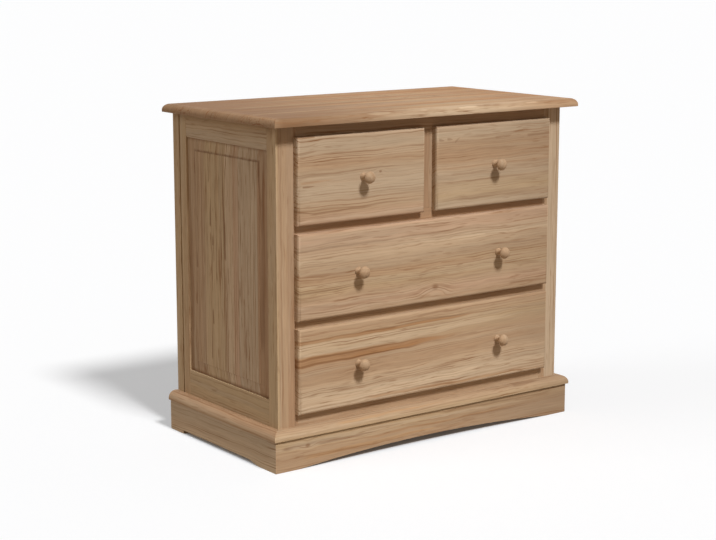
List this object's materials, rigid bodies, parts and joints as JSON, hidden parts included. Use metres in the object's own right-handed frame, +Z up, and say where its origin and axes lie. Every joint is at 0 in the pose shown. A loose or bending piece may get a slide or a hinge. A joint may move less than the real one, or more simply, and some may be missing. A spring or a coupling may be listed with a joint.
{
  "type": "chest of drawers",
  "caption": "Waxed pine chest with small drawers over wide ones, proud drawer fronts, turned knobs, framed panel sides and an arched plinth.",
  "frame": {"origin": "on the floor, under the middle of the chest's box", "axes": "+Z up, -Y to the front where the drawers open, +X to the right seen from the front"},
  "size_m": [1, 0.558, 0.892],
  "materials": {
    "waxed_pine": "waxed, satin",
    "bare_pine": "planed, unfinished",
    "turned_pine": "turned and waxed, satin",
    "plywood": "sanded, unfinished",
    "zinc_steel": "zinc plated"
  },
  "bodies": {
    "carcass": {"back_panel": "plywood", "back_rails": "bare_pine", "back_screws": "zinc_steel", "centre_runner": "bare_pine", "front_bottom_rail": "waxed_pine", "front_divider": "waxed_pine", "front_lower_rail": "waxed_pine", "front_top_rail": "waxed_pine", "front_upper_rail": "waxed_pine", "left_front_post": "waxed_pine", "left_rear_post": "waxed_pine", "left_rear_stile": "waxed_pine", "left_runners": "bare_pine", "left_side_bottom_rail": "waxed_pine", "left_side_panel": "waxed_pine", "left_side_top_rail": "waxed_pine", "moulding_front": "waxed_pine", "moulding_left": "waxed_pine", "moulding_right": "waxed_pine", "plinth_front": "waxed_pine", "plinth_left": "waxed_pine", "plinth_right": "waxed_pine", "right_front_post": "waxed_pine", "right_rear_post": "waxed_pine", "right_rear_stile": "waxed_pine", "right_runners": "bare_pine", "right_side_bottom_rail": "waxed_pine", "right_side_panel": "waxed_pine", "right_side_top_rail": "waxed_pine", "top_board": "waxed_pine", "top_cleats": "bare_pine"},
    "upper_left_drawer": {"upper_left_drawer_back": "bare_pine", "upper_left_drawer_bottom": "plywood", "upper_left_drawer_front": "waxed_pine", "upper_left_drawer_knob": "turned_pine", "upper_left_drawer_knob_screw": "zinc_steel", "upper_left_drawer_left_side": "bare_pine", "upper_left_drawer_right_side": "bare_pine"},
    "upper_right_drawer": {"upper_right_drawer_back": "bare_pine", "upper_right_drawer_bottom": "plywood", "upper_right_drawer_front": "waxed_pine", "upper_right_drawer_knob": "turned_pine", "upper_right_drawer_knob_screw": "zinc_steel", "upper_right_drawer_left_side": "bare_pine", "upper_right_drawer_right_side": "bare_pine"},
    "middle_drawer": {"middle_drawer_back": "bare_pine", "middle_drawer_bottom": "plywood", "middle_drawer_front": "waxed_pine", "middle_drawer_knob_screws": "zinc_steel", "middle_drawer_knobs": "turned_pine", "middle_drawer_left_side": "bare_pine", "middle_drawer_right_side": "bare_pine"},
    "lower_drawer": {"lower_drawer_back": "bare_pine", "lower_drawer_bottom": "plywood", "lower_drawer_front": "waxed_pine", "lower_drawer_knob_screws": "zinc_steel", "lower_drawer_knobs": "turned_pine", "lower_drawer_left_side": "bare_pine", "lower_drawer_right_side": "bare_pine"}
  },
  "joints": [
    {"name": "upper_left_drawer_slide", "type": "slide", "parent": "carcass", "child": "upper_left_drawer", "axis": [0, -1, 0], "range_m": [0, 0.33]},
    {"name": "upper_right_drawer_slide", "type": "slide", "parent": "carcass", "child": "upper_right_drawer", "axis": [0, -1, 0], "range_m": [0, 0.33]},
    {"name": "middle_drawer_slide", "type": "slide", "parent": "carcass", "child": "middle_drawer", "axis": [0, -1, 0], "range_m": [0, 0.33]},
    {"name": "lower_drawer_slide", "type": "slide", "parent": "carcass", "child": "lower_drawer", "axis": [0, -1, 0], "range_m": [0, 0.33]}
  ]
}
